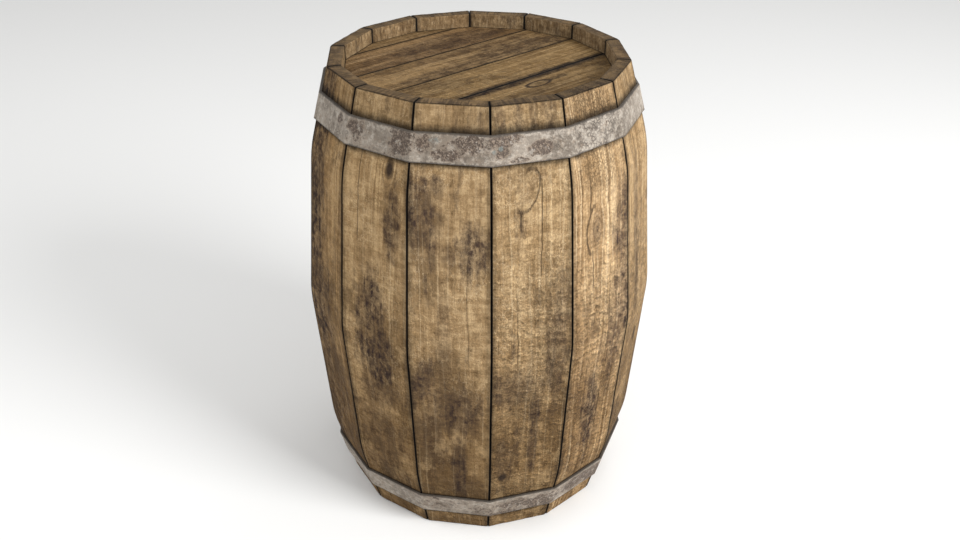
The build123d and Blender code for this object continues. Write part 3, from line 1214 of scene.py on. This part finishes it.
BUNG_LOOK = ((0.98, 0.84, 0.7), 0.5, 0.6, 1.2)


def bung_oak():
    """A turned plug of a redder wood than the staves, its grain across them."""
    return oak("bung_oak", 5.2, {"stain": [((0.008, 0.0), (0.01, 0.014), 0.6)]}, BUNG_LOOK)


def pale_dowel():
    return oak("dowel_oak", 8.8, {})


def rush_fibre():
    """Flattened dark rush, fibrous along the seam."""
    shader = Shader("rush_fibre")
    place = shader.node("ShaderNodeTexCoord", {}, "Object")
    fibres = shader.noise(place, (240, 240, 900), 5, 0.6)
    colour = shader.mix(shader.step(fibres, 0.3, 0.7), SEAM_BLACK, STAIN)
    return shader.finish(relief=(fibres, 0.4 * MM), Base_Color=colour, Roughness=0.9)


# --- iron

# Spots on the hoops, by the stave that they lie over: (across, height, width, tall, strength)
UPPER_SCABS = {
    "stave_05": [(0.039, 0.849, 0.01, 0.018, 1.2)],
    "stave_06": [
        (-0.045, 0.85, 0.024, 0.017, 1.0),
        (0.049, 0.843, 0.026, 0.02, 1.2),
        (0.052, 0.862, 0.028, 0.008, 1.0),
    ],
    "stave_07": [
        (-0.047, 0.848, 0.014, 0.022, 0.8),
        (-0.004, 0.834, 0.03, 0.012, 0.9),
        (0.03, 0.853, 0.022, 0.013, 1.0),
    ],
    "stave_08": [
        (-0.048, 0.838, 0.014, 0.01, 1.2),
        (-0.04, 0.86, 0.03, 0.01, 1.1),
        (0.004, 0.838, 0.012, 0.011, 1.5),
        (0.02, 0.842, 0.02, 0.013, 2.6),
        (-0.02, 0.826, 0.02, 0.006, 0.8),
    ],
    "stave_09": [(0.025, 0.852, 0.008, 0.008, 0.8)],
    "stave_01": [(across, 0.844, 0.011, 0.011, 1.6) for across in (-0.023, 0.023)],
}
GREEN_SPOTS = {
    "stave_08": [(-0.063, 0.841, 0.008, 0.007, 1.0), (-0.052, 0.846, 0.008, 0.007, 1.0)],
    "stave_07": [(-0.027, 0.856, 0.014, 0.009, 0.6)],
}
ETCHINGS = {
    "stave_09": [(0.0, 0.845, 0.085, 0.05, 1.0)],
    "stave_08": [(0.05, 0.845, 0.02, 0.04, 0.7)],
}
LOWER_SCABS = {
    "stave_08": [
        (-0.01, 0.05, 0.04, 0.012, 0.5),
        (-0.01, 0.075, 0.04, 0.014, 0.9),
        (0.04, 0.06, 0.036, 0.022, 1.3),
    ],
    "stave_09": [(0.0, 0.07, 0.05, 0.024, 1.1), (0.049, 0.064, 0.036, 0.024, 1.3)],
    "stave_01": [(across, 0.07, 0.011, 0.011, 1.6) for across in (-0.023, 0.023)],
}
HOOP_LOOKS = {
    "upper": ((0.94, 0.935, 0.93), UPPER_SCABS, GREEN_SPOTS, ETCHINGS),
    "lower": ((0.91, 0.9, 0.89), LOWER_SCABS, {}, {}),
}
RIVET_LOOK = ((0.66, 0.62, 0.58), {}, {}, {})


def spots_share(shader, place, spots):
    """How far a point is inside the spots: 1 at the middle of one, 0 outside them all."""
    shares = [0.0]
    for stave, patches in spots.items():
        angle = heading(level_points(stave, True))
        for across, height, width, tall, strength in patches:
            middle = outward(angle) * outer_flat(height) + sideways(angle) * across
            away = shader.vector("SUBTRACT", place, (middle.x, middle.y, height))
            scaled = shader.vector("DIVIDE", away, (width, width, tall))
            distance = shader.node("ShaderNodeVectorMath", {0: scaled}, "Value", operation="LENGTH")
            shares.append(shader.step(distance, 0.3, 1.4, strength, 0.0))
    return shader.most(shares)


def hoop_iron(name, seed, tone, scabs, greens, etchings):
    """
    Weathered galvanised strip: cloudy grey with pale crystals, crusty rust where it has worn through at
    the scabs, verdigris at the greens, and a net of fine dark lines at the etchings.
    """
    iron = Shader(name)
    grain = iron.attribute("grain")
    edge = iron.split(iron.attribute("edges"))[0]
    place = iron.vector("ADD", grain, (seed, seed * 0.5, seed * 1.3))
    clouds = iron.noise(place, (16, 16, 26), 9, 0.68)
    speckle = iron.noise(place, (190, 190, 190), 5, 0.72)
    blotches = iron.noise(place, (62, 62, 80), 9, 0.76)
    mottle = iron.noise(place, (85, 85, 85), 6, 0.7)
    zones = iron.noise(place, (6, 6, 10), 2, 0.5)
    crust_cells = iron.cells(place, (230, 230, 230), "F1")
    scab_share = spots_share(iron, grain, scabs)
    rusting = iron.total(iron.math("MULTIPLY", blotches, 0.65), (zones, 0.35), (scab_share, 0.14))
    rust_share = iron.step(rusting, 0.55, 0.605, 0.0, 1.0)

    net = iron.step(iron.cells(place, (170, 170, 170)), 0.03, 0.24, 0.8, 0.0)
    broken = iron.step(mottle, 0.4, 0.56, 1.0, 0.35)
    etched = iron.product(spots_share(iron, grain, etchings), net, broken)
    colour = iron.layers(
        iron.mix(iron.step(clouds, 0.38, 0.62), IRON_MID, IRON_LIGHT),
        (mottle, 0.5, 0.6, 0.0, 0.55, IRON_PALE),
        (mottle, 0.4, 0.48, 0.45, 0.0, IRON_MID),
        (speckle, 0.53, 0.66, 0.0, 0.18, IRON_PALE),
    )
    colour = iron.layers(
        iron.mix(etched, colour, IRON_EDGE),
        (speckle, 0.36, 0.46, 0.28, 0.0, IRON_EDGE),
        (blotches, 0.38, 0.47, 0.45, 0.0, RUST),
    )
    crust = iron.layers(
        RUST,
        (speckle, 0.48, 0.66, 0.0, 0.7, RUST_PALE),
        (crust_cells, 0.12, 0.45, 0.45, 0.0, RUST_PALE),
        (mottle, 0.55, 0.62, 0.0, 0.45, IRON_PALE),
    )
    colour = iron.mix(iron.math("MULTIPLY", rust_share, 0.95), colour, crust)
    halo = iron.step(rusting, 0.515, 0.56, 0.0, 1.0)
    halo = iron.product(halo, iron.step(rust_share, 0.0, 0.8, 0.45, 0.0))
    colour = iron.mix(halo, colour, RUST_PALE)
    green_edge = iron.total(spots_share(iron, grain, greens), (blotches, 2.0))
    colour = iron.layers(colour, (green_edge, 1.35, 1.7, 0.0, 0.75, VERDIGRIS))
    colour = iron.mix(1.0, colour, tone, "MULTIPLY")
    # Darker near the edges of the strip and round the rivets' rims, and a painted shadow line along the free
    # end of the lap.
    dark_edges_and_lap_shadow = iron.total(edge, (iron.math("SUBTRACT", blotches, 0.5), 9 * MM))
    colour = iron.layers(colour, (dark_edges_and_lap_shadow, 0.5 * MM, 3.4 * MM, 0.85, 0.0, IRON_EDGE))

    pitting = iron.product(rust_share, iron.step(crust_cells, 0.1, 0.6, 0.9, -0.4))
    height = iron.total(pitting, (etched, -1.2), (speckle, 0.6), (blotches, 0.8))
    return iron.finish(
        relief=(height, 0.9 * MM),
        Base_Color=colour,
        Metallic=iron.step(rust_share, 0.1, 0.8, 0.25, 0.0),
        Roughness=iron.step(clouds, 0.3, 0.7, 0.74, 0.58),
    )


# --- stage

def make_floor():
    reach = 12 * HEIGHT
    corners = [(-reach, -reach, 0), (reach, -reach, 0), (reach, reach, 0), (-reach, reach, 0)]
    mesh = bpy.data.meshes.new("floor")
    mesh.from_pydata(corners, [], [(0, 1, 2, 3)])
    paint(mesh, Shader("pale_floor").finish(Base_Color=FLOOR_COLOUR, Roughness=0.9))
    floor = put("floor", mesh)


def direction(azimuth, elevation):
    """From the barrel towards a place round it. Azimuth 0 is the -Y side and 90 the +X side, in degrees."""
    turn, rise = math.radians(azimuth), math.radians(elevation)
    return Vector((math.sin(turn) * math.cos(rise), -math.cos(turn) * math.cos(rise), math.sin(rise)))


def aim_at(item, place, target):
    item.location = place
    item.rotation_euler = (target - place).to_track_quat("-Z", "Y").to_euler()


def add_light(name, azimuth, elevation, distance, size, power):
    light = bpy.data.lights.new(name, "AREA")
    light.shape = "DISK"
    light.size = size * HEIGHT
    light.energy = power
    middle = UP * HALF
    aim_at(put(name, light), middle + direction(azimuth, elevation) * distance * HEIGHT, middle)


def make_light():
    add_light("key", 62, 30, 4.5, 2.2, 190)
    add_light("fill", -70, 40, 5.5, 3.5, 60)
    add_light("back", 150, 50, 5.5, 3.5, 30)
    world = bpy.data.worlds.new("studio")
    bpy.context.scene.world = world
    world.use_nodes = True
    sky = world.node_tree.nodes["Background"].inputs
    sky["Color"].default_value = (1, 1, 1, 1)
    sky["Strength"].default_value = 0.62
    bpy.context.scene.view_settings.view_transform = "Standard"


def make_camera():
    back = direction(CAMERA_AZIMUTH, CAMERA_ELEVATION)
    right = direction(CAMERA_AZIMUTH + 90, 0)
    aim = UP * (AIM_HEIGHT * HEIGHT) + right * AIM_SIDE * HEIGHT
    lens = bpy.data.cameras.new("camera")
    lens.lens = LENS_MM
    camera = put("camera", lens)
    aim_at(camera, aim + back * CAMERA_DISTANCE * HEIGHT, aim)
    bpy.context.scene.camera = camera


make_camera()
make_light()
make_floor()
make_staves()
make_heads()
for hoop_end in ("upper", "lower"):
    make_hoop(hoop_end)
make_bung()
